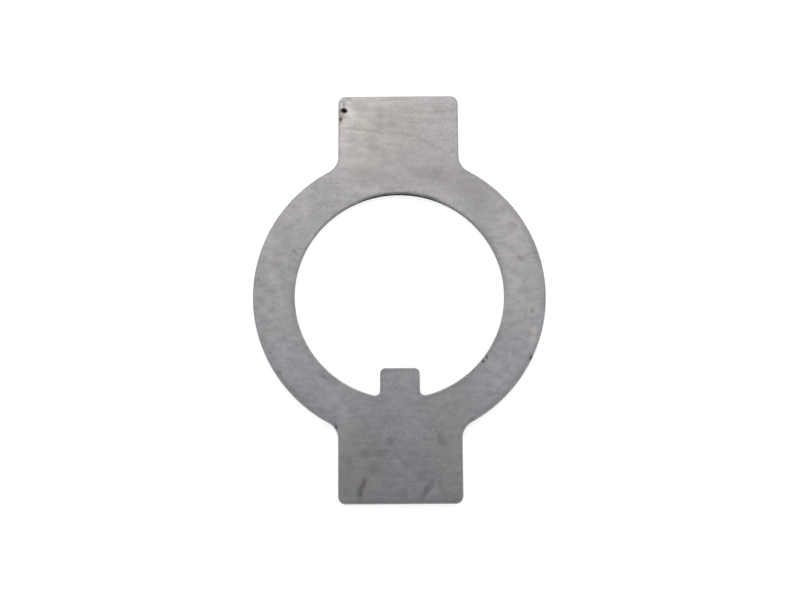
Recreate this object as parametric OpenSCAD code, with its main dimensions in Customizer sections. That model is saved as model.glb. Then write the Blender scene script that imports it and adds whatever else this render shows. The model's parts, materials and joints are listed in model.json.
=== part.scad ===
// Tab lock washer: a ring stamped from sheet steel, with two tabs to bend up
// against the nut and an inner tongue that keys into a slotted shaft.
// The washer lies flat, its underside on z = 0 and its bore along the Z axis.

/* [Sheet] */
// Thickness of the sheet steel
sheet_t = 1.0; // [0.6:0.05:2]
// Radius of the upper edges, which the punch draws down as it cuts; the lower edges stay sharp
edge_roll = 0.15; // [0.05:0.01:0.25]

/* [Ring] */
// Diameter of the bore, a close clearance on a 24 mm thread
bore_d = 25; // [15:0.1:32]
// Outside diameter of the ring, just inside the flats of a 36 mm nut
ring_d = 35; // [30:0.1:50]

/* [Tabs] */
// Width of each tab
tab_w = 14.6; // [8:0.1:22]
// How far each tab stands out beyond the ring
tab_reach = 7.4; // [4:0.1:15]
// Radius of a tab's outer corners
tab_corner_r = 0.9; // [0.4:0.05:3]
// Radius of the fillet where a tab's side runs into the ring
tab_root_r = 2.2; // [0.5:0.1:4]

/* [Tongue] */
// Width of the tongue, a sliding fit in a 5 mm keyway
tongue_w = 4.7; // [3:0.05:8]
// How far the tongue reaches in from the bore
tongue_reach = 3.65; // [2:0.05:6]
// Radius of the tongue's free corners
tongue_corner_r = 0.65; // [0.4:0.05:1.4]
// Radius of the fillet where the tongue's side runs into the bore
tongue_root_r = 0.6; // [0.3:0.05:1.2]

/* [Hidden] */
steel = "#9f9da0";
$fn = 96;

bore_r = bore_d / 2;
ring_r = ring_d / 2;
wall_r = (bore_r + ring_r) / 2;

// How deep a rim strip is, and how far in from the edges the flat core of a finger starts
rim_depth = 4 * edge_roll;
core_inset = 2 * edge_roll;
// Fillets bite this far into the ring's edge, so that the surfaces join; their centres
// lie on whole steps, so that their ends meet the fingers' sides exactly
bite = 0.002;
step = 0.001;

// The point at a given x on a circle about the axis, on its upper (1) or lower (-1) half
function on_circle(r, x, half) = [x, half * sqrt(r * r - x * x)];

// The same, taken down to the next whole step
function fillet_centre(x, r, half) = [x, floor(on_circle(r, x, half).y / step) * step];

// Section of the sheet from x = near to x = far, with the upper corner rolled at the listed ends
module sheet_section(near, far, rolled) {
    inner = near + (rolled[0] ? edge_roll : 0);
    outer = far - (rolled[1] ? edge_roll : 0);
    translate([near, 0]) square([far - near, sheet_t - edge_roll]);
    translate([inner, 0]) square([outer - inner, sheet_t]);
    if (rolled[0]) translate([inner, sheet_t - edge_roll]) circle(edge_roll);
    if (rolled[1]) translate([outer, sheet_t - edge_roll]) circle(edge_roll);
}

// Rim along a straight edge, with the metal to the left of its heading
module straight_rim(start, heading, length) {
    translate(start)
        rotate([90, 0, 90 + heading])
            linear_extrude(length) sheet_section(0, rim_depth, [true, false]);
}

// Quarter-round corner, solid to its centre
module corner(centre, r) {
    translate(centre)
        rotate_extrude(angle = 90) sheet_section(0, r, [false, true]);
}

// Fillet that fills an inside corner: an arc with the metal outside it, starting on its left
module fillet(centre, r, sweep, depth) {
    translate(centre)
        rotate(180)
            rotate_extrude(angle = sweep) sheet_section(r, r + depth, [true, false]);
}

// A flat finger along +Y with rounded corners at its free end. Its foot stands in the ring,
// and fillets of radius root_r join its sides to the ring's edge of radius edge_r:
// the outer edge, for a finger above the axis (1), or the bore, for one below it (-1).
module finger(width, foot_y, end_y, corner_r, edge_r, root_r, half) {
    x = width / 2;
    corner_y = end_y - corner_r;
    root = fillet_centre(x + root_r, edge_r + half * (root_r - bite), half);
    notch = on_circle(edge_r - half * core_inset, x - core_inset, half);
    sweep = half > 0 ? atan2(root.y, root.x) : 90 + atan2(root.x, -root.y);
    root_depth = norm(root - notch) - root_r + core_inset;

    linear_extrude(sheet_t) {
        translate([core_inset - x, foot_y]) square([2 * (x - core_inset), corner_y - foot_y]);
        translate([corner_r - x, foot_y]) square([2 * (x - corner_r), end_y - core_inset - foot_y]);
    }
    straight_rim([x - corner_r, end_y], 180, 2 * (x - corner_r));
    for (side = [0, 1])
        mirror([side, 0, 0]) {
            fillet(root, root_r, sweep, root_depth);
            straight_rim([x, root.y], 90, corner_y - root.y);
            corner([x - corner_r, corner_y], corner_r);
        }
}

// The ring, turned about the bore's axis
module ring() {
    rotate_extrude() sheet_section(bore_r, ring_r, [true, true]);
}

// A tab on the +Y side of the ring
module tab() {
    finger(tab_w, wall_r, ring_r + tab_reach, tab_corner_r, ring_r, tab_root_r, 1);
}

// The tongue, on the -Y side of the bore and pointing in at the axis
module tongue() {
    finger(tongue_w, -wall_r, tongue_reach - bore_r, tongue_corner_r, bore_r, tongue_root_r, -1);
}

// The washer in one piece
module lock_washer() {
    color(steel) {
        ring();
        for (end = [0, 1])
            mirror([0, end, 0]) tab();
        tongue();
    }
}

lock_washer();
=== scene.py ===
# %% [markdown]
# # A tab lock washer, stamped from sheet steel
# The washer is one flat piece: a ring, two tabs that are bent up against a nut, and a tongue that
# slides in the keyway of a shaft. The packed solid gives its place and its main sizes, so the first
# step loads that solid and keeps its box, which the finished piece must not outgrow.

# %% Load the packed washer
import json
import math
import bpy
from mathutils import Euler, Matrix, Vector


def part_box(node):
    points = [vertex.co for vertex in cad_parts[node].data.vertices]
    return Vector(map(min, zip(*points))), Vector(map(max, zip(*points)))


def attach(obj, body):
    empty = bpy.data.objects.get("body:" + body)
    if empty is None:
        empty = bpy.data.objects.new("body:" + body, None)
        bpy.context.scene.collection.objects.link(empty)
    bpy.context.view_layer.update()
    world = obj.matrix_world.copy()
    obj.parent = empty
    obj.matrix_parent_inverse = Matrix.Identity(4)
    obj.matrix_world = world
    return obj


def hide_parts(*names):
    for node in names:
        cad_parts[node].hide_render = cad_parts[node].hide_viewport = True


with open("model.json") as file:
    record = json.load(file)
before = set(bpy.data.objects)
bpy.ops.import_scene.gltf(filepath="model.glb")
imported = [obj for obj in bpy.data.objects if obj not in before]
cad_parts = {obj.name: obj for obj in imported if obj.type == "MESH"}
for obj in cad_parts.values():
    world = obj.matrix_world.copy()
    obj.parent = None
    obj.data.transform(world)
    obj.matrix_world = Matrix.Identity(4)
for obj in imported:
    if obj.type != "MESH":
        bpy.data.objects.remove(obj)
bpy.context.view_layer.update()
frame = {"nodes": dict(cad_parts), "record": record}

# %% [markdown]
# ## Sizes
# A learner could type every size again, but then the two models drift apart. Here the main sizes are
# measured on the loaded solid, in millimetres. Only the small radii, which are hard to read from a
# mesh, are named values. The tab's points lie beyond the fillet at its root, and the tongue's points
# lie well inside the bore.

# %% Measure the solid
MM = 0.001
TAB_CORNER = 0.9
TAB_ROOT = 2.2
TONGUE_CORNER = 0.65
TONGUE_ROOT = 0.6
EDGE_ROLL = 0.15

solid_points = [vertex.co / MM for vertex in frame["nodes"]["lock_washer"].data.vertices]
low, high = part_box("lock_washer")
mounts = {mount["name"]: mount for mount in frame["record"]["mounts"]}
sheet = (high.z - low.z) / MM
ring_r = high.x / MM
tab_end = high.y / MM
bore_r = mounts["keyed_bore"]["dims"]["r_mm"]
tab_points = [point for point in solid_points if point.y > ring_r + TAB_ROOT]
tongue_points = [point for point in solid_points if point.xy.length < bore_r - 2 * TONGUE_ROOT]
tab_half = max(point.x for point in tab_points)
tongue_half = max(point.x for point in tongue_points)
tongue_tip = max(point.y for point in tongue_points)
print(f"sheet {sheet:.2f}, ring {2 * ring_r:.2f}, bore {2 * bore_r:.2f}, span {2 * tab_end:.2f} mm")
print(f"tabs {2 * tab_half:.2f} wide, tongue {2 * tongue_half:.2f} wide to y = {tongue_tip:.2f} mm")

# %% [markdown]
# ## The punched outline
# The die cuts two closed lines, the outside and the bore. Each is made of arcs that meet tangentially,
# so a list of arcs is enough: the straight sides appear where one arc's end joins the next one's start.
# Both lines run with the metal on their left, which tells the sweep below which side is outside.

# %% An arc as a list of points
ARC_STEP = 0.08


def arc(x, y, radius, start, end):
    """Points along an arc, in millimetres, from one angle in degrees to another."""
    steps = math.ceil(abs(math.radians(end - start)) * radius / ARC_STEP)
    angles = [math.radians(start + (end - start) * i / steps) for i in range(steps + 1)]
    return [(x + radius * math.cos(angle), y + radius * math.sin(angle)) for angle in angles]


print("points on a tab's corner:", len(arc(0, 0, TAB_CORNER, 0, 90)))

# %% Outside line
# The lower half is the upper half turned by half a turn
root_x = tab_half + TAB_ROOT
root_y = math.sqrt((ring_r + TAB_ROOT) ** 2 - root_x ** 2)
ring_turn = math.degrees(math.atan2(root_y, root_x))
tab_corner_x = tab_half - TAB_CORNER
tab_corner_y = tab_end - TAB_CORNER
upper_half = [
    *arc(0, 0, ring_r, -ring_turn, ring_turn),
    *arc(root_x, root_y, TAB_ROOT, 180 + ring_turn, 180),
    *arc(tab_corner_x, tab_corner_y, TAB_CORNER, 0, 90),
    *arc(-tab_corner_x, tab_corner_y, TAB_CORNER, 90, 180),
    *arc(-root_x, root_y, TAB_ROOT, 0, -ring_turn),
]
outside_line = upper_half + [(-x, -y) for x, y in upper_half]
print("points on the outside line:", len(outside_line))

# %% Bore line
key_x = tongue_half + TONGUE_ROOT
key_y = -math.sqrt((bore_r - TONGUE_ROOT) ** 2 - key_x ** 2)
bore_turn = math.degrees(math.atan2(key_y, key_x))
key_corner_x = tongue_half - TONGUE_CORNER
key_corner_y = tongue_tip - TONGUE_CORNER
bore_line = [
    *arc(0, 0, bore_r, 180 - bore_turn, bore_turn),
    *arc(key_x, key_y, TONGUE_ROOT, bore_turn, -180),
    *arc(key_corner_x, key_corner_y, TONGUE_CORNER, 0, 90),
    *arc(-key_corner_x, key_corner_y, TONGUE_CORNER, 90, 180),
    *arc(-key_x, key_y, TONGUE_ROOT, 0, -180 - bore_turn),
]
print("points on the bore line:", len(bore_line))

# %% [markdown]
# ## Lines that a geometry tree can read
# The sweep needs curve objects, not lists. A spline of straight segments keeps every point where it
# was worked out, which a smoothed spline wouldn't. Where two arcs meet, the same point comes twice, so
# a point that repeats the one before it is left out.

# %% Curves from point lists
SAME_POINT = 1e-4


def line_object(name, lines, closed):
    """A curve object with one straight-segment line for each list of points, in millimetres."""
    curve = bpy.data.curves.new(name, "CURVE")
    curve.dimensions = "3D"
    for points in lines:
        kept = [p for i, p in enumerate(points) if math.dist(p, points[i - 1]) > SAME_POINT]
        spline = curve.splines.new("POLY")
        spline.points.add(len(kept) - 1)
        for spot, (x, y) in zip(spline.points, kept):
            spot.co = (x, y, 0, 1)
        spline.use_cyclic_u = closed
    made = bpy.data.objects.new(name, curve)
    bpy.context.collection.objects.link(made)
    return made


washer = line_object("cut_lines", [outside_line, bore_line], closed=True)
print("points on the cut lines:", [len(spline.points) for spline in washer.data.splines])

# %% [markdown]
# ## Section of a sheared edge
# Punched sheet has four zones down its edge: a roll where the punch drew the surface in, a land that
# the punch rubbed smooth, a torn zone that leans inwards, and a crisp lower arris. They could be faked
# with a bump map, but edges are what the eye checks on a flat part, so the section is a real line to
# sweep. It starts and ends a little way in on the flat faces, which keeps those faces' shading flat.

# %% Draw the section
FACE_LAP = 0.24
FLAT_STRIP = 0.03
ROLL_STEPS = 7
LAND_END = 0.42
TORN_LEAN = 0.05
TORN_ROWS = 6
ARRIS = 0.03

roll = [math.radians(90 - 90 * i / ROLL_STEPS) for i in range(ROLL_STEPS + 1)]
rows = [i / TORN_ROWS for i in range(TORN_ROWS + 1)]
land_z = sheet - LAND_END
section = [
    (-FACE_LAP, sheet),
    (-EDGE_ROLL - FLAT_STRIP, sheet),
    *[(EDGE_ROLL * (math.cos(a) - 1), sheet + EDGE_ROLL * (math.sin(a) - 1)) for a in roll],
    (0, (sheet - EDGE_ROLL + land_z) / 2),
    *[(-TORN_LEAN * row, land_z + (ARRIS - land_z) * row) for row in rows],
    (-TORN_LEAN - ARRIS, 0),
    (-TORN_LEAN - 2 * ARRIS, 0),
    (-FACE_LAP, 0),
]
# Curve to Mesh lays the section's Y along the downward side of a path that is seen from above
edge_section = line_object("edge_section", [[(x, -z) for x, z in section]], closed=False)
print("section points:", len(section))

# %% [markdown]
# ## One helper for every node tree
# Shader trees and geometry trees are wired in the same way, so a single helper serves both. It adds a
# node, applies its settings and fills its inputs with values or with links.

# %% Add a node
def add(tree, kind, inputs=None, **settings):
    """Add a node. An input takes a value, a socket, a node for its first output, or a list of these."""
    made = tree.nodes.new(kind)
    for name, value in settings.items():
        setattr(made, name, value)
    shown = [socket for socket in made.inputs if socket.enabled]
    for key, value in (inputs or {}).items():
        socket = shown[key] if isinstance(key, int) else next(s for s in shown if s.name == key)
        for item in value if isinstance(value, list) else [value]:
            if isinstance(item, bpy.types.Node):
                item = next(s for s in item.outputs if s.enabled)
            if isinstance(item, bpy.types.NodeSocket):
                tree.links.new(item, socket)
            else:
                socket.default_value = item
    return made


print("helper ready:", add.__doc__)

# %% [markdown]
# ## Pits in the upper face
# Scale that is rolled into the sheet leaves small pits. Each is the same shallow dish at another size,
# so the tree below puts one dish on every point of a small point cloud. The points carry the dish's
# half length, half width and depth, and the way that it is turned.

# %% Points for the pits
PITS = [
    # x, y, half length, half width, depth, turn in degrees
    (-6.62, 23.02, 0.42, 0.34, 0.14, 10),
    (-6.65, 23.90, 0.14, 0.11, 0.04, 30),
]

pit_mesh = bpy.data.meshes.new("pit_points")
pit_mesh.from_pydata([(pit[0], pit[1], 0) for pit in PITS], [], [])
pit_size = pit_mesh.attributes.new("pit_size", "FLOAT_VECTOR", "POINT")
pit_turn = pit_mesh.attributes.new("pit_turn", "FLOAT_VECTOR", "POINT")
for i, (x, y, length, width, depth, turn) in enumerate(PITS):
    pit_size.data[i].vector = (length, width, depth)
    pit_turn.data[i].vector = (0, 0, math.radians(turn))
pit_points = bpy.data.objects.new("pit_points", pit_mesh)
bpy.context.collection.objects.link(pit_points)
print("pits:", len(PITS))

# %% Section of a dish
# A half wave from the middle, at -1, to a narrow flat collar that joins the dish to the face
DISH_STEPS = 6
DISH_COLLAR = 0.15

dish = [i / DISH_STEPS for i in range(DISH_STEPS + 1)]
dish_section = [(u * (1 - DISH_COLLAR) - 1, (1 + math.cos(math.pi * u)) / 2) for u in dish] + [(0, 0)]
pit_section = line_object("pit_section", [dish_section], closed=False)
print("points on a dish's section:", len(dish_section))

# %% [markdown]
# ## Stamping the washer
# The shape follows a rule, so a geometry tree makes it: sweep the section along both cut lines, close
# the upper and lower faces between them, set the dishes into the upper face, then roughen the torn zone
# and press in the nicks that handling left. The tree works in millimetres and scales its result at the
# end, because very small numbers upset the node that fills the faces.

# %% Inputs of the stamping tree
stamp = bpy.data.node_groups.new("stamped washer", "GeometryNodeTree")
stamp.interface.new_socket("Cut lines", in_out="INPUT", socket_type="NodeSocketGeometry")
stamp_inputs = {}
for name, kind in {
    "Edge section": "Object",
    "Pit section": "Object",
    "Pit points": "Object",
    "Path step": "Float",
    "Sheet": "Float",
    "Land height": "Float",
    "Tear depth": "Float",
    "Tear size": "Float",
    "Steel": "Material",
}.items():
    socket = stamp.interface.new_socket(name, in_out="INPUT", socket_type="NodeSocket" + kind)
    stamp_inputs[name] = socket.identifier
stamp.interface.new_socket("Washer", in_out="OUTPUT", socket_type="NodeSocketGeometry")
given = add(stamp, "NodeGroupInput").outputs
print("stamping inputs:", ", ".join(stamp_inputs))

# %% Sweep the section along the cut lines
even_path = add(stamp, "GeometryNodeResampleCurve",
                {"Curve": given["Cut lines"], "Length": given["Path step"]}, mode="LENGTH")
flat_path = add(stamp, "GeometryNodeSetCurveNormal", {"Curve": even_path}, mode="Z_UP")
section_line = add(stamp, "GeometryNodeObjectInfo", {"Object": given["Edge section"]})
swept = add(stamp, "GeometryNodeCurveToMesh",
            {"Curve": flat_path, "Profile Curve": section_line.outputs["Geometry"]})
print("stamping tree with the sweep:", len(stamp.nodes), "nodes")

# %% [markdown]
# ## Zones of the edge
# The material has to know where the land and the torn zone are. It could work that out from the height
# alone, but the floor of a pit is as low as the land. So the zones are stored on the swept rim, before
# anything else is joined to it, as two attributes that run from 0 to 1.

# %% Mark the zones for the material
# The land sets in at this share of the roll, and the torn zone is whole at this share of its height
LAND_START = 0.3
TORN_BLEND = 0.9

place = add(stamp, "GeometryNodeInputPosition")
height = add(stamp, "ShaderNodeSeparateXYZ", {"Vector": place}).outputs["Z"]
below_roll = add(stamp, "ShaderNodeMapRange", {
    "Value": height, "From Min": sheet - LAND_START * EDGE_ROLL, "From Max": sheet - EDGE_ROLL})
below_land = add(stamp, "ShaderNodeMapRange", {
    "Value": height, "From Min": given["Land height"], "From Max": TORN_BLEND * land_z},
    interpolation_type="SMOOTHSTEP")
above_arris = add(stamp, "ShaderNodeMapRange", {"Value": height, "From Min": 0, "From Max": 2 * ARRIS})
sheared = add(stamp, "ShaderNodeMath", {0: below_roll, 1: above_arris}, operation="MULTIPLY")
torn = add(stamp, "ShaderNodeMath", {0: below_land, 1: above_arris}, operation="MULTIPLY")
rim = swept
for name, zone in {"sheared": sheared, "torn": torn}.items():
    rim = add(stamp, "GeometryNodeStoreNamedAttribute", {
        "Geometry": rim, "Name": name, "Value": zone}, data_type="FLOAT", domain="POINT")
print(f"land from {sheet - EDGE_ROLL:.2f} down to {land_z:.2f} mm, torn below that")

# %% [markdown]
# ## Faces with pits
# A face is flat, so filling the line that the sweep left open is enough. A pit needs a hole in that
# face and a dish in the hole. Filling the pits' rims together with the face's own lines leaves those
# holes, and the dishes close them without cutting any mesh. Welding joins all of it into one shell.

# %% Dishes for the pits
DISH_SIDES = 28

circle = add(stamp, "GeometryNodeCurvePrimitiveCircle", {"Resolution": DISH_SIDES, "Radius": 1})
flat_circle = add(stamp, "GeometryNodeSetCurveNormal", {"Curve": circle}, mode="Z_UP")
dish_line = add(stamp, "GeometryNodeObjectInfo", {"Object": given["Pit section"]})
dish_mesh = add(stamp, "GeometryNodeCurveToMesh",
                {"Curve": flat_circle, "Profile Curve": dish_line.outputs["Geometry"]})
pit_cloud = add(stamp, "GeometryNodeObjectInfo", {"Object": given["Pit points"]}).outputs["Geometry"]
dish_size = add(stamp, "GeometryNodeInputNamedAttribute", {"Name": "pit_size"}, data_type="FLOAT_VECTOR")
dish_turn = add(stamp, "GeometryNodeInputNamedAttribute", {"Name": "pit_turn"}, data_type="FLOAT_VECTOR")
laid = [
    add(stamp, "GeometryNodeRealizeInstances", {
        "Geometry": add(stamp, "GeometryNodeInstanceOnPoints", {
            "Points": pit_cloud, "Instance": shape, "Rotation": dish_turn, "Scale": dish_size})})
    for shape in (flat_circle, dish_mesh)
]
pit_rims, pit_dishes = laid
print("stamping tree with the dishes:", len(stamp.nodes), "nodes")

# %% Find the open lines of the rim
half_sheet = add(stamp, "ShaderNodeMath", {0: given["Sheet"], 1: 0.5}, operation="MULTIPLY")
is_upper = add(stamp, "FunctionNodeCompare", {"A": height, "B": half_sheet}, operation="GREATER_THAN")
edge_faces = add(stamp, "GeometryNodeInputMeshEdgeNeighbors")
is_open = add(stamp, "FunctionNodeCompare", {"A": edge_faces, "B": 1}, data_type="INT", operation="EQUAL")
upper_open = add(stamp, "FunctionNodeBooleanMath", {0: is_open, 1: is_upper}, operation="AND")
lower_open = add(stamp, "FunctionNodeBooleanMath", {0: is_open, 1: is_upper}, operation="NIMPLY")
upper_line = add(stamp, "GeometryNodeMeshToCurve", {"Mesh": rim, "Selection": upper_open})
lower_line = add(stamp, "GeometryNodeMeshToCurve", {"Mesh": rim, "Selection": lower_open})
print("stamping tree with the open lines:", len(stamp.nodes), "nodes")

# %% Close the two faces
WELD = 0.002

upper_lines = add(stamp, "GeometryNodeJoinGeometry", {"Geometry": [upper_line, pit_rims]})
upper_face = add(stamp, "GeometryNodeFillCurve", {"Curve": upper_lines}, mode="TRIANGLES")
lower_face = add(stamp, "GeometryNodeFlipFaces", {
    "Mesh": add(stamp, "GeometryNodeFillCurve", {"Curve": lower_line}, mode="TRIANGLES")})
lift = add(stamp, "ShaderNodeCombineXYZ", {"Z": given["Sheet"]})
pitted_face = add(stamp, "GeometryNodeTransform", {
    "Geometry": add(stamp, "GeometryNodeJoinGeometry", {"Geometry": [upper_face, pit_dishes]}),
    "Translation": lift})
shell = add(stamp, "GeometryNodeJoinGeometry", {"Geometry": [rim, pitted_face, lower_face]})
closed = add(stamp, "GeometryNodeMergeByDistance", {"Geometry": shell, "Distance": WELD})
print("stamping tree with the faces:", len(stamp.nodes), "nodes")

# %% [markdown]
# ## Tears and nicks
# Torn metal is uneven, and a washer that has lain in a box of others has small nicks along its edges.
# Modelling them by hand would take long, so both are one inward push along the normal: a noise pushes
# the torn zone, and each nick is a round push about a point. The flat faces are left out of it, so that
# they stay flat.

# %% Roughen the torn zone
TEAR_DETAIL = 2.0

tear_scale = add(stamp, "ShaderNodeMath", {0: 1.0, 1: given["Tear size"]}, operation="DIVIDE")
tear = add(stamp, "ShaderNodeTexNoise", {"Vector": place, "Scale": tear_scale, "Detail": TEAR_DETAIL})
tear_depth = add(stamp, "ShaderNodeMath", {0: tear, 1: given["Tear depth"]}, operation="MULTIPLY")
press = add(stamp, "ShaderNodeMath", {0: torn, 1: tear_depth}, operation="MULTIPLY")
print("stamping tree with the tears:", len(stamp.nodes), "nodes")

# %% Press in the nicks
NICKS = [
    # x, y, reach, depth
    (-7.30, 22.00, 0.50, 0.10),
    (-7.30, 19.60, 0.40, 0.04),
    (10.10, -7.35, 0.45, 0.09),
    (9.55, -8.05, 0.40, 0.08),
    (15.75, -7.65, 0.45, 0.10),
    (-7.95, -15.65, 0.50, 0.07),
    (8.15, -15.45, 0.50, 0.05),
]
for x, y, reach, depth in NICKS:
    away = add(stamp, "ShaderNodeVectorMath", {0: place, 1: (x, y, sheet)}, operation="DISTANCE")
    nick = add(stamp, "ShaderNodeMapRange", {
        "Value": away.outputs["Value"], "From Min": reach, "From Max": 0, "To Max": depth},
        interpolation_type="SMOOTHSTEP")
    press = add(stamp, "ShaderNodeMath", {0: press, 1: nick}, operation="ADD")
print("nicks:", len(NICKS))

# %% Push inwards, away from the faces
# A face's normal has a Z of 1, and the push grows as the surface turns away from that
FLAT_Z = 0.999
EDGE_Z = 0.9

outward = add(stamp, "GeometryNodeInputNormal")
slope = add(stamp, "ShaderNodeSeparateXYZ", {"Vector": outward}).outputs["Z"]
on_edge = add(stamp, "ShaderNodeMapRange", {
    "Value": slope, "From Min": FLAT_Z, "From Max": EDGE_Z, "To Max": -1.0})
inward = add(stamp, "ShaderNodeMath", {0: press, 1: on_edge}, operation="MULTIPLY")
dent = add(stamp, "ShaderNodeVectorMath", {0: outward, "Scale": inward}, operation="SCALE")
dented = add(stamp, "GeometryNodeSetPosition", {"Geometry": closed, "Offset": dent})
print("stamping tree with the nicks:", len(stamp.nodes), "nodes")

# %% Finish the tree
smooth = add(stamp, "GeometryNodeSetShadeSmooth", {"Geometry": dented})
metres = add(stamp, "GeometryNodeTransform", {"Geometry": smooth, "Scale": (MM, MM, MM)})
realized = add(stamp, "GeometryNodeRealizeInstances", {"Geometry": metres})
steeled = add(stamp, "GeometryNodeSetMaterial", {"Geometry": realized, "Material": given["Steel"]})
add(stamp, "NodeGroupOutput", {"Washer": steeled})
print("finished stamping tree:", len(stamp.nodes), "nodes")

# %% [markdown]
# ## Cold-rolled mild steel
# The sheet was cold rolled and left bare. To the eye it is a dull mid grey: a metal, but with a fine
# pickled grain that spreads its reflections wide, cloudy patches a few millimetres across, and faint
# lines along the rolling direction. One flat grey would look like plastic, and one noise like stone, so
# patterns of four sizes are added up into a single tone between a dark and a pale steel.

# %% Colours
def linear(code):
    """Turn an sRGB hex colour into the linear colour that a socket takes."""
    parts = [int(code[i:i + 2], 16) / 255 for i in (1, 3, 5)]
    curve = [c / 12.92 if c <= 0.04045 else ((c + 0.055) / 1.055) ** 2.4 for c in parts]
    return (*curve, 1.0)


STEEL_DARK = "#8d8d91"
STEEL_PALE = "#b3b3b6"

steel = bpy.data.materials.new("cold_rolled_mild_steel")
steel.use_nodes = True
shade = steel.node_tree
shade.nodes.clear()
print("pale steel", STEEL_PALE, "is linear", [round(c, 3) for c in linear(STEEL_PALE)])

# %% Pattern coordinates in millimetres
object_place = add(shade, "ShaderNodeTexCoord").outputs["Object"]
spot = add(shade, "ShaderNodeVectorMath", {0: object_place, "Scale": 1 / MM}, operation="SCALE")
spot_parts = add(shade, "ShaderNodeSeparateXYZ", {"Vector": spot}).outputs
plan = add(shade, "ShaderNodeVectorMath", {0: spot, 1: (1, 1, 0)}, operation="MULTIPLY")
print("pattern units in a metre:", round(1 / MM))

# %% Clouds, mottle, rolling lines and grain
# Real pickled grain is finer than a pixel of the render, so it is drawn as coarse as it needs to show
PATTERNS = {
    # size along the rolling direction and across it, in millimetres, and weight in the tone
    "clouds": (4.0, 4.0, 0.6),
    "mottle": (1.2, 0.9, 0.76),
    "rolling lines": (4.0, 0.4, 0.25),
    "grain": (0.22, 0.22, 1.05),
}
TONE_SPREAD = 0.46
NOISE_DETAIL = 3.0

pattern = {}
tone = 0.0
for name, (along, across, weight) in PATTERNS.items():
    scaled = add(shade, "ShaderNodeVectorMath", {
        0: spot, 1: (1 / along, 1 / across, 1 / across)}, operation="MULTIPLY")
    pattern[name] = add(shade, "ShaderNodeTexNoise", {
        "Vector": scaled, "Scale": 1.0, "Detail": NOISE_DETAIL})
    tone = add(shade, "ShaderNodeMath", {0: pattern[name], 1: weight, 2: tone}, operation="MULTIPLY_ADD")
middle = sum(weight for along, across, weight in PATTERNS.values()) / 2
evenness = add(shade, "ShaderNodeMapRange", {
    "Value": tone, "From Min": middle - TONE_SPREAD, "From Max": middle + TONE_SPREAD})
bare = add(shade, "ShaderNodeMix", {
    "Factor": evenness, "A": linear(STEEL_DARK), "B": linear(STEEL_PALE)}, data_type="RGBA")
print("patterns:", ", ".join(PATTERNS))

# %% [markdown]
# ## Stains, rubs, painted light and painted shade
# Each mark on the real washer is a short stroke: it has two ends and a width, and so is each patch of
# painted light and painted shade. A round speck is a stroke that is hardly longer than it is wide. An
# image could hold all of them, but strokes stay sharp at any distance and are easy to move. Strokes with
# the same look share one colour, so a group of strokes becomes one mask. The groups are listed in the
# order of painting, from wide and faint to small and dark, because a later group covers an earlier one.

# %% Strokes that follow a round edge
RIM_IN = 0.30
RIM_WIDTH = 0.40
RIM_STEP = 6.0


def rim_strokes(radius, start, end):
    """Overlapping strokes along a circle round the axis, from one angle in degrees to another."""
    count = math.ceil((end - start) / RIM_STEP)
    line = arc(0, 0, radius, start, end)
    ends = [line[i * (len(line) - 1) // count] for i in range(count + 1)]
    return [(*a, *b, RIM_WIDTH) for a, b in zip(ends, ends[2:])]


outer_rim = ring_r - RIM_IN
inner_rim = bore_r + RIM_IN
bore_arris = bore_r + RIM_IN / 2
print("strokes in a quarter of the outer rim:", len(rim_strokes(outer_rim, 0, 90)))

# %% Painted light, shade and tints
# Wide and faint: painted light and painted shade that stand in for the uneven fall of the lamp on the
# sheet, one of them warm, then a yellow-grey tint
BLOOMS = {
    # colour, strength, softness, and strokes in millimetres from x, y to x, y with a width
    # Painted light: the far tab's left corner lighter and warmer, where the lamp falls on it
    "warm bloom": ("#c8c3ba", 0.40, 0.95, [
        (-5.20, 24.20, -4.60, 18.00, 5.60)]),
    # Painted light: the ring's sides lighter, as where light falls on them
    "pale bloom": ("#cccbd0", 0.38, 0.95, [
        (13.60, 9.50, 15.30, -7.50, 5.00), (-15.20, -4.00, -12.50, -10.00, 3.60),
        (-15.60, 7.50, -16.00, 4.00, 2.60), (-7.00, -13.90, -8.50, -12.00, 2.80),
        (14.60, -6.00, 10.60, -13.20, 4.20), (-15.30, 2.60, -15.20, -2.60, 4.20)]),
    # Painted shade: the far tab's root darker
    "dull bloom": ("#737174", 0.36, 0.95, [
        (6.40, 15.20, 9.20, 12.40, 3.40), (-5.50, 14.90, -2.50, 14.80, 2.20),
        (3.00, 15.00, 4.50, 14.80, 2.00)]),
    # Faint painted light on the ring, the tongue, the near tab and along the far tab's edges
    "faint bloom": ("#cccbd0", 0.16, 0.95, [
        (-12.30, 12.00, -12.30, 9.50, 4.00), (15.70, 0.50, 15.70, -7.00, 4.50),
        (0.00, -9.60, 0.00, -11.00, 3.20), (6.00, -12.00, 6.50, -16.00, 4.50),
        (-6.20, -12.50, -6.20, -17.00, 4.00), (-6.50, 24.55, 6.00, 24.55, 1.30),
        (-6.85, 23.50, -6.85, 16.50, 1.50), (-12.60, -5.00, -10.20, -9.40, 3.00),
        (9.20, -10.80, 10.60, -9.20, 2.60)]),
    # Painted shade with a warm tint over the middle of the far tab and part of the near tab
    "oil film": ("#908b82", 0.30, 0.95, [
        (0.50, 23.40, 0.50, 19.60, 7.00), (-3.80, -19.50, -3.20, -24.00, 4.50)]),
    # A yellow-grey tint over both sides of the near tab
    "yellowed film": ("#a5a598", 0.30, 0.95, [
        (-6.40, -17.50, -6.20, -23.50, 5.00), (6.00, -14.50, 6.20, -23.50, 5.00)]),
}
print("painted light, shade and tints:", ", ".join(BLOOMS))

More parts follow.
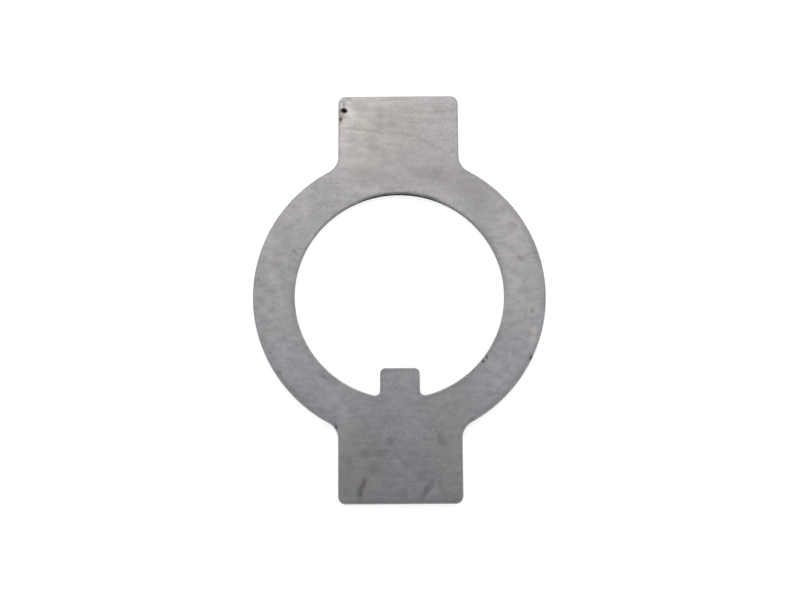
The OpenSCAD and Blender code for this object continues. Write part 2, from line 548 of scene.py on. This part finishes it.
# %% Painted shade along the rims
# Painted shade: parts of the rims are a little darker than the face, partly grease on handled edges and
# partly the shade of the rolled edge, and the top edge of the bore is darker still as painted shade alone
RIM_SHADES = {
    "rim shade": ("#55524f", 0.24, 0.85, [
        *rim_strokes(outer_rim, 12, 52), *rim_strokes(outer_rim, -59, -22),
        *rim_strokes(outer_rim, 212, 233), *rim_strokes(inner_rim, 174, 192),
        *rim_strokes(inner_rim, 283, 342), *rim_strokes(inner_rim, 6, 38),
        (-1.80, -9.15, 1.80, -9.15, RIM_WIDTH), (-6.40, -24.60, 6.40, -24.60, RIM_WIDTH)]),
    # Painted shade along the top edge of the bore, which faces away from the lamp
    "bore shade": ("#3a3735", 0.55, 0.8, rim_strokes(bore_arris, 68, 110)),
}
print("shades:", ", ".join(RIM_SHADES))

# %% Rubs, clouds and streaks
# Scuffs that bared the steel again, and soft patches a millimetre across where oil dried unevenly
CLOUDS = {
    "pale rubs": ("#d0cecb", 0.45, 0.8, [
        (-6.45, 24.10, -5.75, 22.40, 1.30), (-6.60, 21.80, -6.30, 20.90, 0.90),
        (16.15, -3.00, 15.75, -6.20, 0.52), (-0.12, -16.45, -0.12, -16.95, 0.30),
        (-0.55, -20.00, -0.20, -20.00, 0.40)]),
    "grey clouds": ("#7d7a77", 0.38, 0.85, [
        (-2.29, 23.10, -2.15, 22.30, 0.95), (-2.50, 21.25, -2.20, 21.15, 1.10),
        (-1.10, 21.35, -0.60, 21.35, 0.90), (4.75, 23.15, 5.10, 23.20, 1.10),
        (-4.80, 23.55, -4.40, 23.50, 1.60), (-3.50, 19.55, -3.10, 19.45, 1.00),
        (-3.10, 18.35, -2.90, 18.25, 1.10), (-5.46, 19.50, -5.40, 19.40, 0.90),
        (4.90, 15.10, 5.40, 14.30, 1.50), (-14.90, 3.85, -14.40, 3.80, 0.80),
        (-15.50, 0.65, -15.00, 0.60, 0.75), (13.88, 8.48, 13.95, 8.40, 0.70),
        (4.70, -17.20, 5.00, -17.80, 0.80)]),
    "faint streaks": ("#777573", 0.32, 0.7, [
        (-7.20, 20.95, -4.10, 20.60, 0.30), (-4.30, 20.62, -1.90, 20.16, 0.42),
        (-1.20, 20.25, 0.30, 20.22, 0.45), (0.50, 19.99, 1.70, 19.86, 0.36),
        (2.30, 19.70, 3.65, 18.97, 0.40), (-1.70, 18.83, 0.00, 18.71, 0.36)]),
    "tan clouds": ("#6a665f", 0.31, 0.85, [
        (4.58, -17.00, 4.98, -17.90, 0.80), (-4.30, -19.00, -4.00, -19.10, 0.95),
        (-2.60, -18.95, -2.30, -18.95, 0.95), (-3.30, -20.70, -3.10, -20.95, 1.10),
        (-6.00, -19.90, -6.00, -20.20, 0.80), (2.50, -21.80, 2.80, -21.75, 0.90),
        (0.30, -23.60, 0.35, -23.70, 0.90), (4.60, -22.60, 4.95, -23.60, 0.55)]),
}
print("clouds:", ", ".join(CLOUDS))

# %% Smears and specks
# Small and dark: dirt in the nicks, brown oil on the lower tab and black scale in the large pit
SPECKS = {
    "grey smears": ("#5c5a59", 0.60, 0.7, [
        (3.55, -22.45, 2.60, -23.95, 0.72), (-4.65, -23.12, -4.69, -23.28, 0.42),
        (-6.92, 22.35, -7.02, 21.70, 0.66), (-7.08, 23.05, -7.06, 22.60, 0.42),
        (-6.94, 24.21, -6.41, 24.21, 0.26), (-6.68, 24.15, -6.66, 23.25, 0.28)]),
    "dark specks": ("#55514e", 0.42, 0.8, [
        (-1.18, -17.45, -1.13, -17.60, 0.62),
        (-6.30, 24.62, -5.85, 24.50, 0.50), (14.34, 4.46, 14.64, 4.32, 0.62),
        (15.82, -2.00, 15.80, -2.10, 0.40), (-12.66, 5.49, -12.40, 5.25, 0.38),
        (-16.81, 2.00, -16.80, 1.80, 0.36), (-15.43, -6.80, -15.35, -7.00, 0.33),
        (-14.28, -9.15, -14.15, -9.30, 0.40), (-9.10, -9.90, -8.80, -10.00, 0.38),
        (8.46, -15.00, 7.98, -15.60, 0.40)]),
    "edge grime": ("#2e2a27", 0.95, 0.7, [
        (10.22, -7.58, 10.30, -7.78, 0.28), (9.82, -8.06, 9.92, -8.18, 0.26),
        (15.66, -7.55, 15.54, -7.88, 0.34), (-7.63, -15.68, -7.57, -15.92, 0.38),
        (-7.00, 22.12, -7.06, 21.86, 0.34)]),
    "brown film": ("#4f443a", 0.55, 0.85, [
        (-4.18, -22.13, -4.48, -22.83, 0.54), (-4.43, -22.68, -4.75, -23.48, 0.70),
        (-4.75, -23.28, -4.71, -24.03, 0.66)]),
    "black scale": ("#231f1c", 1.60, 0.6, [
        (-6.78, 23.06, -6.58, 23.05, 0.62)]),
}
MARKS = {**BLOOMS, **RIM_SHADES, **CLOUDS, **SPECKS}
print("strokes:", {name: len(mark[-1]) for name, mark in MARKS.items()})

# %% [markdown]
# ## Painting the strokes
# Each stroke could be a decal on a mesh of its own, but a mark has no thickness. Instead a Mapping node
# stretches the plan so that a stroke becomes round, and a round gradient on it falls from 1 in the
# middle to 0. The stroke's outline is where the gradient is one half, and its softness says how wide
# the fade about that outline is. The highest gradient of a group makes its mask. Noise in the
# coordinates frays the outlines, and the mottle thins the masks, so that no mark looks drawn.

# %% Fray and thin the strokes
FRAY_MM = 0.7
FRAY = 0.40
# A mask is thinned to this share where the mottle is below the first value, and whole above the second
THINNED = 0.45
THIN_AT = 0.35
FULL_AT = 0.6

ragged_noise = add(shade, "ShaderNodeTexNoise", {
    "Vector": spot, "Scale": 1 / FRAY_MM, "Detail": NOISE_DETAIL})
shift = add(shade, "ShaderNodeVectorMath", {
    0: ragged_noise.outputs["Color"], 1: (FRAY, FRAY, 0), 2: (-FRAY / 2, -FRAY / 2, 0)},
    operation="MULTIPLY_ADD")
ragged = add(shade, "ShaderNodeVectorMath", {0: plan, 1: shift}, operation="ADD")
body = add(shade, "ShaderNodeMapRange", {
    "Value": pattern["mottle"], "From Min": THIN_AT, "From Max": FULL_AT, "To Min": THINNED})
print(f"outlines wander by {FRAY / 2} mm, masks thin to {THINNED}")

# %% Paint group after group
painted = bare
for code, strength, softness, strokes in MARKS.values():
    closeness = 0.0
    for x0, y0, x1, y1, width in strokes:
        length = math.dist((x0, y0), (x1, y1)) + width
        local = add(shade, "ShaderNodeMapping", {
            "Vector": ragged,
            "Location": ((x0 + x1) / 2, (y0 + y1) / 2, 0),
            "Rotation": (0, 0, math.atan2(y1 - y0, x1 - x0)),
            "Scale": (length, width, 1)}, vector_type="TEXTURE")
        bulge = add(shade, "ShaderNodeTexGradient", {"Vector": local}, gradient_type="SPHERICAL")
        closeness = add(shade, "ShaderNodeMath", {
            0: bulge.outputs["Fac"], 1: closeness}, operation="MAXIMUM")
    mask = add(shade, "ShaderNodeMapRange", {
        "Value": closeness, "From Min": (1 - softness) / 2, "From Max": (1 + softness) / 2,
        "To Max": strength}, interpolation_type="SMOOTHSTEP")
    cover = add(shade, "ShaderNodeMath", {0: mask, 1: body}, operation="MULTIPLY", use_clamp=True)
    painted = add(shade, "ShaderNodeMix", {
        "Factor": cover, "A": painted, "B": linear(code)}, data_type="RGBA")
print("steel tree with the marks:", len(shade.nodes), "nodes")

# %% Keep the marks off the underside
# Shares of the sheet's height at which the marks start and are whole
MARKS_FROM = 0.5
MARKS_WHOLE = 0.7

upper_only = add(shade, "ShaderNodeMapRange", {
    "Value": spot_parts["Z"], "From Min": MARKS_FROM * sheet, "From Max": MARKS_WHOLE * sheet})
faced = add(shade, "ShaderNodeMix", {"Factor": upper_only, "A": bare, "B": painted}, data_type="RGBA")
print(f"marks above {MARKS_FROM * sheet:.2f} mm")

# %% [markdown]
# ## Colour of the sheared edge
# Where the punch cut, the steel is not the rolled surface any more. The punch rubbed fine upright
# lines into the land, and the torn zone below it is coarse and dark, because its small hollows hold oil
# and oxide. The stamping tree stored both zones as attributes on the mesh, so the colours follow the
# edge everywhere, and one noise that is stretched upwards draws the lines in both.

# %% Land and torn zone
LAND_DARK = "#73716f"
LAND_PALE = "#9b9997"
TORN_DARK = "#4a4745"
TORN_PALE = "#7f7c79"
STREAK_MM = (0.12, 0.12, 1.5)
# Nearly all values of a noise lie between these two
NOISE_LOW = 0.3
NOISE_HIGH = 0.7

upright = add(shade, "ShaderNodeVectorMath", {0: spot, 1: STREAK_MM}, operation="DIVIDE")
streaks = add(shade, "ShaderNodeTexNoise", {"Vector": upright, "Scale": 1.0, "Detail": NOISE_DETAIL})
streaked = add(shade, "ShaderNodeMapRange", {
    "Value": streaks, "From Min": NOISE_LOW, "From Max": NOISE_HIGH})
land = add(shade, "ShaderNodeMix", {
    "Factor": streaked, "A": linear(LAND_DARK), "B": linear(LAND_PALE)}, data_type="RGBA")
torn_steel = add(shade, "ShaderNodeMix", {
    "Factor": streaked, "A": linear(TORN_DARK), "B": linear(TORN_PALE)}, data_type="RGBA")
land_mask = add(shade, "ShaderNodeAttribute", attribute_name="sheared").outputs["Fac"]
torn_mask = add(shade, "ShaderNodeAttribute", attribute_name="torn").outputs["Fac"]
landed = add(shade, "ShaderNodeMix", {"Factor": land_mask, "A": faced, "B": land}, data_type="RGBA")
cut = add(shade, "ShaderNodeMix", {"Factor": torn_mask, "A": landed, "B": torn_steel}, data_type="RGBA")
print("steel tree with the edge:", len(shade.nodes), "nodes")

# %% [markdown]
# ## Painted shade in the bore
# The wall of the bore is painted nearly black on the side away from the tongue, as painted shade.
# A stroke can't draw it, because a stroke lies flat on the face. Two ramps do: one on the distance from
# the axis picks the bore's wall, and one along Y fades the painted shade out to both sides.

# %% Painted shade on the bore's wall
OIL_DARK = "#24211f"
OIL = 0.85
# Share of the bore's radius, along Y, at which the painted shade sets in
OIL_START = 0.84
# Millimetres outside the bore's radius at which the painted shade ends and is whole
OIL_OUT = 1.0
OIL_FULL = 0.5

from_axis = add(shade, "ShaderNodeVectorMath", {0: plan}, operation="LENGTH").outputs["Value"]
in_bore = add(shade, "ShaderNodeMapRange", {
    "Value": from_axis, "From Min": bore_r + OIL_OUT, "From Max": bore_r + OIL_FULL, "To Max": OIL})
far_side = add(shade, "ShaderNodeMapRange", {
    "Value": spot_parts["Y"], "From Min": OIL_START * bore_r, "From Max": bore_r, "To Max": in_bore},
    interpolation_type="SMOOTHSTEP")
oiled = add(shade, "ShaderNodeMath", {0: far_side, 1: land_mask}, operation="MULTIPLY")
coloured = add(shade, "ShaderNodeMix", {
    "Factor": oiled, "A": cut, "B": linear(OIL_DARK)}, data_type="RGBA")
print(f"painted bore-wall shade from y = {OIL_START * bore_r:.1f} to {bore_r:.1f} mm")

# %% [markdown]
# ## Gloss and relief
# Bare rolled steel is neither a mirror nor matt: a roughness near one half blurs what it reflects into
# broad soft light. The rolling lines shift it a little, the land has gone dull with oxide, and the torn
# zone is nearly matt. The grain also lifts the surface, by up to two thousandths of a millimetre, which
# a bump is right for. A metal reflects white at a flat angle, and the tint below holds that back, as a
# dull oxide skin does.

# %% Roughness, bump and shader
FACE_ROUGH = (0.44, 0.50)
LAND_ROUGH = 0.75
TORN_ROUGH = 0.95
GRAIN_RELIEF = 0.002
RELIEF_STRENGTH = 0.4
OXIDE_TINT = "#d0d0d0"

dullness = add(shade, "ShaderNodeMapRange", {
    "Value": pattern["rolling lines"], "From Min": NOISE_LOW, "From Max": NOISE_HIGH,
    "To Min": FACE_ROUGH[0], "To Max": FACE_ROUGH[1]})
land_rough = add(shade, "ShaderNodeMix", {"Factor": land_mask, "A": dullness, "B": LAND_ROUGH})
rough = add(shade, "ShaderNodeMix", {"Factor": torn_mask, "A": land_rough, "B": TORN_ROUGH})
relief = add(shade, "ShaderNodeBump", {
    "Height": pattern["grain"], "Distance": GRAIN_RELIEF * MM, "Strength": RELIEF_STRENGTH})
surface = add(shade, "ShaderNodeBsdfPrincipled", {
    "Base Color": coloured, "Metallic": 1.0, "Roughness": rough, "Specular Tint": linear(OXIDE_TINT),
    "Normal": relief})
add(shade, "ShaderNodeOutputMaterial", {"Surface": surface})
print("finished steel tree:", len(shade.nodes), "nodes")

# %% [markdown]
# ## From modifier to plain mesh
# The tree's result is turned into an ordinary mesh, so that every later step and every other program
# sees the same faces. The helper curves and points have done their work and are removed. The mesh
# stands for the packed solid, moves with the washer's only body and takes the record's steel.

# %% Run the stamping tree
PATH_STEP = 0.1
TEAR_SIZE = 0.2
TEAR_DEPTH = 0.04

stamping = washer.modifiers.new("stamp", "NODES")
stamping.node_group = stamp
for name, value in {
    "Edge section": edge_section,
    "Pit section": pit_section,
    "Pit points": pit_points,
    "Path step": PATH_STEP,
    "Sheet": sheet,
    "Land height": land_z,
    "Tear depth": TEAR_DEPTH,
    "Tear size": TEAR_SIZE,
    "Steel": steel,
}.items():
    stamping[stamp_inputs[name]] = value
evaluated = washer.evaluated_get(bpy.context.evaluated_depsgraph_get())
washer_mesh = bpy.data.meshes.new_from_object(evaluated)
washer.modifiers.remove(stamping)
washer_mesh.materials.pop(index=0)  # the empty slot of the curve that the mesh came from
for helper in (washer, edge_section, pit_section, pit_points):
    bpy.data.objects.remove(helper)
print("washer mesh:", len(washer_mesh.vertices), "vertices,", len(washer_mesh.polygons), "faces,",
      [material.name for material in washer_mesh.materials])

# %% Put the washer in place of the solid
lock_washer = bpy.data.objects.new("stamped_lock_washer", washer_mesh)
bpy.context.collection.objects.link(lock_washer)
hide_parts("lock_washer")
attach(lock_washer, "root")
print("finished piece:", lock_washer.name)

# %% [markdown]
# ## White floor
# The washer lies on white paper. Paper that only scatters the studio's light would come out grey here,
# and more light would bleach the washer instead. So the paper also glows a little, for the camera and
# for mirror rays alone: the glow lights nothing else, and the shadow under the sheet stays visible.

# %% Floor sheet
# A hair below the washer, so that no two faces lie in one plane
FLOOR_HALF = 1.0
FLOOR_DROP = 0.02 * MM

corner_signs = [(-1, -1), (1, -1), (1, 1), (-1, 1)]
floor_mesh = bpy.data.meshes.new("floor")
floor_mesh.from_pydata(
    [(x * FLOOR_HALF, y * FLOOR_HALF, -FLOOR_DROP) for x, y in corner_signs], [], [(0, 1, 2, 3)])
floor = bpy.data.objects.new("floor", floor_mesh)
bpy.context.collection.objects.link(floor)
print("floor:", 2 * FLOOR_HALF, "metres wide")

# %% White paper
PAPER = "#f4f4f4"
GLOW = "#ffffff"
CAMERA_GLOW = 0.61
MIRROR_GLOW = 0.45

paper = bpy.data.materials.new("white_paper")
paper.use_nodes = True
paper_tree = paper.node_tree
paper_tree.nodes.clear()
rays = add(paper_tree, "ShaderNodeLightPath").outputs
mirrored = add(paper_tree, "ShaderNodeMath", {
    0: rays["Is Glossy Ray"], 1: rays["Is Transmission Ray"]}, operation="MAXIMUM")
mirror_glow = add(paper_tree, "ShaderNodeMath", {0: mirrored, 1: MIRROR_GLOW}, operation="MULTIPLY")
glow = add(paper_tree, "ShaderNodeMath", {
    0: rays["Is Camera Ray"], 1: CAMERA_GLOW, 2: mirror_glow}, operation="MULTIPLY_ADD")
matt = add(paper_tree, "ShaderNodeBsdfDiffuse", {"Color": linear(PAPER)})
lit = add(paper_tree, "ShaderNodeEmission", {"Color": linear(GLOW), "Strength": glow})
both = add(paper_tree, "ShaderNodeAddShader", {0: matt, 1: lit})
add(paper_tree, "ShaderNodeOutputMaterial", {"Surface": both})
floor_mesh.materials.append(paper)
print("paper tree:", len(paper_tree.nodes), "nodes")

# %% [markdown]
# ## Studio light
# A flat metal part shows what it mirrors, so the light is mostly the dome above it: white near the
# horizon and greyer overhead. That alone would shade the washer evenly. The real one is lighter at its
# far tab, so one soft round lamp stands beyond that tab, where its broad reflection fades towards the
# camera.

# %% Dome
HORIZON = "#ffffff"
ZENITH = "#7b7b89"
# Heights on a unit dome between which the colour changes
HORIZON_HEIGHT = 0.45
ZENITH_HEIGHT = 0.95

world = bpy.data.worlds.new("studio")
world.use_nodes = True
sky = world.node_tree
sky.nodes.clear()
toward = add(sky, "ShaderNodeTexCoord").outputs["Generated"]
up = add(sky, "ShaderNodeSeparateXYZ", {"Vector": toward}).outputs["Z"]
rise = add(sky, "ShaderNodeMapRange", {
    "Value": up, "From Min": HORIZON_HEIGHT, "From Max": ZENITH_HEIGHT}, interpolation_type="SMOOTHSTEP")
tint = add(sky, "ShaderNodeMix", {
    "Factor": rise, "A": linear(HORIZON), "B": linear(ZENITH)}, data_type="RGBA")
dome = add(sky, "ShaderNodeBackground", {"Color": tint, "Strength": 1.0})
add(sky, "ShaderNodeOutputWorld", {"Surface": dome})
bpy.context.scene.world = world
print("dome tree:", len(sky.nodes), "nodes")

# %% Soft round lamp
# Angles in degrees and lengths in millimetres
LAMP_COLOUR = "#fff8ed"
LAMP_TILT = 31
LAMP_TURN = 90
LAMP_RANGE = 220
LAMP_WIDTH = 110
LAMP_WATTS = 0.113

lamp_data = bpy.data.lights.new("softbox", "AREA")
lamp_data.shape = "DISK"
lamp_data.size = LAMP_WIDTH * MM
lamp_data.energy = LAMP_WATTS
lamp_data.color = linear(LAMP_COLOUR)[:3]
softbox = bpy.data.objects.new("softbox", lamp_data)
tilt = math.radians(LAMP_TILT)
turn = math.radians(LAMP_TURN)
ray = Vector((math.sin(tilt) * math.cos(turn), math.sin(tilt) * math.sin(turn), math.cos(tilt)))
softbox.location = ray * LAMP_RANGE * MM
softbox.rotation_euler = ray.to_track_quat("Z", "Y").to_euler()
bpy.context.collection.objects.link(softbox)
print("softbox at", [round(c, 3) for c in softbox.location])

# %% [markdown]
# ## Camera
# The photograph looks down on the washer, leaning a little towards the near tab, so the far wall of the
# bore just shows. The tilt, the spin about the bore's axis and the scale were fitted to the outline. The
# camera is then moved sideways in its own plane until the axis falls on its pixel, which keeps the lens
# free of any shift.

# %% Place the camera
# Angles in degrees, lengths in millimetres and the axis in pixels of the photograph
CAMERA_TILT = 12.33
CAMERA_SPIN = 0.40
CAMERA_RANGE = 200
PIXELS_PER_MM = 8.339
IMAGE_WIDTH = 800
IMAGE_HEIGHT = 600
AXIS_PIXEL = (399.37, 296.38)
SENSOR = 36
NEAREST = 10

camera_data = bpy.data.cameras.new("camera")
camera_data.sensor_width = SENSOR
camera_data.lens = PIXELS_PER_MM * CAMERA_RANGE * SENSOR / IMAGE_WIDTH
camera_data.clip_start = NEAREST * MM
camera = bpy.data.objects.new("camera", camera_data)
aim = Euler((math.radians(CAMERA_TILT), 0, -math.radians(CAMERA_SPIN)))
aside = (IMAGE_WIDTH / 2 - AXIS_PIXEL[0]) / PIXELS_PER_MM
below = (AXIS_PIXEL[1] - IMAGE_HEIGHT / 2) / PIXELS_PER_MM
camera.rotation_euler = aim
camera.location = aim.to_matrix() @ Vector((aside, below, CAMERA_RANGE)) * MM
bpy.context.collection.objects.link(camera)
bpy.context.scene.camera = camera
bpy.context.scene.view_settings.view_transform = "Standard"
print("camera at", [round(c, 4) for c in camera.location], "lens", round(camera_data.lens, 2))

# %% [markdown]
# ## The finished washer's box
# The finished washer has to fill the same box as the packed solid.
